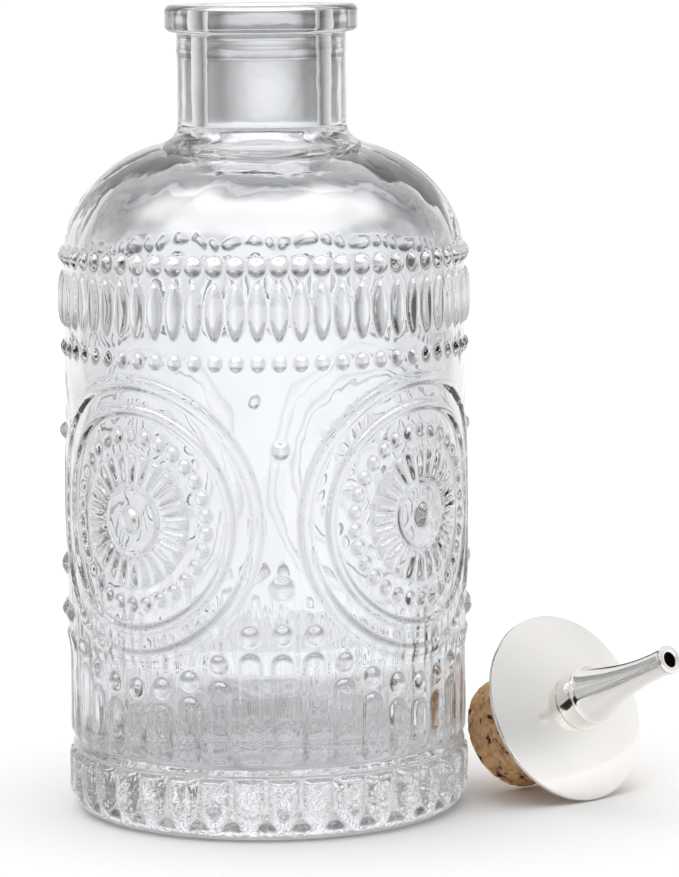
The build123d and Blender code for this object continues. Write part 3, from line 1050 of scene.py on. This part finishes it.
def natural_cork():
    """Cork of several browns, with dark pits."""
    material, tree, shader = new_material("natural_cork")
    browns = [
        (0.30, (0.34, 0.15, 0.06)),
        (0.42, (0.66, 0.36, 0.165)),
        (0.55, (0.85, 0.53, 0.27)),
        (0.72, (0.92, 0.66, 0.40)),
    ]
    pit_stops = [(0.35, (0.05, 0.03, 0.02)), (0.42, (1.0, 1.0, 1.0))]
    mix = tree.nodes.new("ShaderNodeMixRGB")
    mix.blend_type = "MULTIPLY"
    mix.inputs["Fac"].default_value = 1
    plug(ramp(noise(tree, 700, 6, 0.7), browns), mix.inputs["Color1"])
    plug(ramp(noise(tree, 420, 3, 0.55), pit_stops), mix.inputs["Color2"])
    plug(Field(mix.outputs["Color"]), shader.inputs["Base Color"])
    shader.inputs["Roughness"].default_value = 0.85
    bump(shader, noise(tree, 800, 5, 0.6), 0.7, 0.0006)
    return material


def floor_finish():
    """A pale matte table without any gloss."""
    material, tree, shader = new_material("pale_table")
    tones = [(0.3, (0.90, 0.90, 0.90)), (0.7, (0.93, 0.93, 0.93))]
    plug(ramp(noise(tree, 3, 2), tones), shader.inputs["Base Color"])
    shader.inputs["Roughness"].default_value = 0.9
    shader.inputs["Specular IOR Level"].default_value = 0
    return material


ONE_FACE = np.array([[0, 1, 2, 3]])


def level_square(half, z):
    """The corners of a level square about the bottle's axis."""
    return [(-half, -half, z), (half, -half, z), (half, half, z), (-half, half, z)]


def upright_card(left, right, top):
    """The corners of an upright card between two points of the table."""
    return [(*left, 0), (*right, 0), (*right, top), (*left, top)]


def stage_floor():
    """A plain pale floor. The glass is lit from below by a card of its own instead."""
    floor = object_of("floor", level_square(FLOOR_HALF, FLOOR_Z), ONE_FACE, floor_finish())
    floor.visible_transmission = False


def glowing(name):
    """A material that only glows, its tree, and the socket that takes its strength."""
    material = bpy.data.materials.new(name)
    material.use_nodes = True
    tree = material.node_tree
    tree.nodes.clear()
    glow = tree.nodes.new("ShaderNodeEmission")
    glow.inputs["Color"].default_value = (0.97, 0.98, 1.0, 1)
    surface = tree.nodes.new("ShaderNodeOutputMaterial")
    tree.links.new(glow.outputs["Emission"], surface.inputs["Surface"])
    return material, tree, glow.inputs["Strength"]


def card(name, points, material, through_glass):
    """A studio card that the camera looks past, seen through the glass or else only mirrored."""
    thing = object_of(name, points, ONE_FACE, material)
    thing.visible_camera = False
    thing.visible_diffuse = False
    thing.visible_shadow = False
    thing.visible_glossy = not through_glass
    thing.visible_transmission = through_glass


def table_card_painted_shadow():
    """What the glass sees of the table, as a card glowing with painted light: a painted shadow,
    grey round its foot, and paler further out.
    """
    material, tree, strength = glowing("table_card_painted_shadow")
    aside, backward, _ = split_up(tree, "Object")
    distance = (aside * aside + backward * backward).root()
    # Painted shadow: darkest next to the foot, fading to the paler table further out
    tone = TABLE_SHADOW_TONE + eased(distance, *TABLE_FADE) * TABLE_FAR_GAIN
    mottle = (noise(tree, 60, 2) - 0.5) * TABLE_MOTTLE
    plug(tone + mottle, strength)
    corners = level_square(TABLE_CARD_HALF, TABLE_CARD_Z)
    card("table_card_painted_shadow", corners, material, through_glass=True)


def backdrop():
    """What the glass sees behind it: a glowing grey card, paler for the body, the shoulder and the
    lip, painting their light and shade.
    """
    material, tree, strength = glowing("grey_card")
    aside, _, height = split_up(tree, "Object")
    off_centre = aside.absolute()

    # Behind the body the card is palest in its middle, down to the table
    in_body = 1.0 - eased(height, *BODY_TOP)
    in_middle = 1.0 - eased(off_centre, *BODY_MIDDLE)
    body = BODY_TONE * in_body * (BODY_SIDE_SHARE + in_middle * (1 - BODY_SIDE_SHARE))

    # A wide oval spot for the shoulder, and a band for the lip: painted highlights
    sideways = (aside - SPOT_AT[0]) * SPOT_FLATNESS
    up = height - SPOT_AT[1]
    from_spot = (up * up + sideways * sideways).root()
    shoulder_highlight = SHOULDER_HIGHLIGHT_TONE * (1.0 - eased(from_spot, *SPOT_REACH))
    lip = LIP_TONE * eased(height, *LIP_FROM) * (1.0 - eased(height, *LIP_TO))

    # Its upper sides are darker: painted shade for the edges of the shoulder and the neck
    upper_sides = eased(off_centre, *UPPER_SIDES_FROM) * eased(height, *UPPER_SIDES_ABOVE)
    painted_edge_shade = 1.0 - upper_sides * UPPER_SIDES_LOSS
    plug((BACKDROP_TONE + shoulder_highlight + body + lip) * painted_edge_shade, strength)
    left, right = (-BACKDROP_HALF, BACKDROP_BACK), (BACKDROP_HALF, BACKDROP_BACK)
    corners = upright_card(left, right, BACKDROP_TOP)
    card("backdrop_card", corners, material, through_glass=True)


def black_flag():
    """A black card in front and to the left, out of view, that the spout's collar mirrors."""
    material, _, shader = new_material("black_flag")
    shader.inputs["Base Color"].default_value = (0.01, 0.008, 0.007, 1)
    shader.inputs["Roughness"].default_value = 1
    corners = upright_card(FLAG_LEFT, FLAG_RIGHT, FLAG_TOP)
    card("black_flag", corners, material, through_glass=False)


def soft_sun(name, way, strength, spread):
    """A far, wide light that falls on the whole floor alike, from the direction given."""
    data = bpy.data.lights.new(name, "SUN")
    data.energy = strength
    data.angle = math.radians(spread)
    light = bpy.data.objects.new(name, data)
    bpy.context.scene.collection.objects.link(light)
    light.rotation_euler = (-Vector(way)).to_track_quat("-Z", "Y").to_euler()
    light.visible_glossy = False
    light.visible_transmission = False


# In the rooms, the shares of a direction that point rightward, backward and upward run from
# -1 to 1, and each part of a room comes or goes between two of them.


def room_for_glass(rightward, backward, upward):
    """What the glass sees: a dark room that is paler behind, in front, at the left and below."""
    leftward = -rightward
    not_behind = 1.0 - eased(backward, 0.1, 0.4)
    sides = SIDES_TONE - eased(rightward, 0.3, 0.7) * RIGHT_LOSS
    behind = BEHIND_GAIN * eased(backward, 0.3, 1.0)
    in_front = (-backward * IN_FRONT_GAIN).at_least(0.0)
    upper_left = UPPER_LEFT_TONE * eased(leftward, 0.2, 0.5) * eased(upward, -0.05, 0.3)
    at_left = LEFT_TONE * eased(leftward, 0.35, 0.6) * not_behind
    below = BELOW_TONE * (1.0 - eased(upward, -0.3, -0.05))
    return (sides + behind + in_front).at_least(upper_left).at_least(at_left).at_least(below)


def soft_box(backward, upward):
    """A long soft box high in front of the bottle, which its shoulder mirrors."""
    not_overhead = 1.0 - eased(upward, 0.93, 0.985)
    in_front = 1.0 - eased(backward, -0.05, 0.3)
    return SOFT_BOX_TONE * eased(upward, 0.5, 0.7) * not_overhead * in_front


def room_for_steel(rightward, backward, upward):
    """What the steel mirrors: pale all round, and dark straight behind and low at the left."""
    low = 1.0 - eased(upward, 0.2, 0.36)
    lit = 1.0 - eased(backward, 0.86, 0.97)
    lit = lit * (1.0 - eased(-rightward, 0.88, 0.96) * low)
    behind = eased(backward, -0.9, 0.4) * STEEL_BEHIND_GAIN
    top = eased(upward, 0.2, 0.8) * STEEL_TOP_GAIN
    above = STEEL_ABOVE_TONE + behind + top
    pale = picked(eased(upward, 0.0, 0.5), STEEL_BELOW_TONE, above)
    return STEEL_DARK_TONE + lit * pale


def studio():
    """The room, which the glass, the steel and the table each see differently, and the light."""
    world = bpy.data.worlds.new("studio")
    bpy.context.scene.world = world
    world.use_nodes = True
    tree = world.node_tree
    background = tree.nodes["Background"]
    rightward, backward, upward = split_up(tree, "Generated")
    kinds = tree.nodes.new("ShaderNodeLightPath").outputs
    singular, glossy = Field(kinds["Is Singular Ray"]), Field(kinds["Is Glossy Ray"])
    reflected = Field(kinds["Is Reflection Ray"])

    # Singular rays come off the glass, and the other glossy ones off the steel
    on_glass = soft_box(backward, upward) * (singular * reflected)
    room = room_for_glass(rightward, backward, upward) + on_glass
    room = picked(glossy - singular, room, room_for_steel(rightward, backward, upward))
    room = picked(Field(kinds["Is Diffuse Ray"]), room, LIGHT_TONE)
    room = picked(Field(kinds["Is Camera Ray"]), room, CAMERA_TONE)
    plug(room, background.inputs["Strength"])
    background.inputs["Color"].default_value = (1, 1, 1, 1)
    soft_sun("sky", way=(-0.25, -0.1, 1.0), strength=1.25, spread=80)
    backdrop()
    table_card_painted_shadow()
    black_flag()


def camera():
    """The photograph's camera, fitted to the bottle's outline and the stopper's rings."""
    picture_height = 877
    focal_pixels = 4367
    distance, elevation, roll = 706.9, math.radians(7.2), math.radians(-0.514)
    target = Vector((11.94, 0, 59.81))
    back = Vector((0, -math.cos(elevation), math.sin(elevation)))
    level = Vector((1, 0, 0))
    upright = back.cross(level)
    right = level * math.cos(roll) + upright * math.sin(roll)
    up = upright * math.cos(roll) - level * math.sin(roll)
    data = bpy.data.cameras.new("camera")
    data.sensor_fit = "VERTICAL"
    data.sensor_height = 36
    data.lens = data.sensor_height * focal_pixels / picture_height
    data.clip_start, data.clip_end = 0.01, 50
    eye = bpy.data.objects.new("camera", data)
    bpy.context.scene.collection.objects.link(eye)
    turn = Matrix((right, up, back)).transposed().to_4x4()
    eye.matrix_world = Matrix.Translation((target + back * distance) * MM) @ turn
    bpy.context.scene.camera = eye


steel = polished_steel()
ride_and_replace(glass_bottle(clear_glass()), "bottle", "glass_bottle")
ride_and_replace(cap_disc(steel), "stopper", "cap_disc")
ride_and_replace(spout(steel, bore_steel()), "stopper", "spout")
ride_and_replace(cork(natural_cork()), "stopper", "cork")
ride_and_replace(stem_tube(tube_steel()), "stopper", "stem_tube")
stage_floor()
studio()
camera()

scene = bpy.context.scene
scene.view_settings.view_transform = "Standard"
scene.cycles.max_bounces = 24
scene.cycles.transmission_bounces = 20
scene.cycles.glossy_bounces = 8
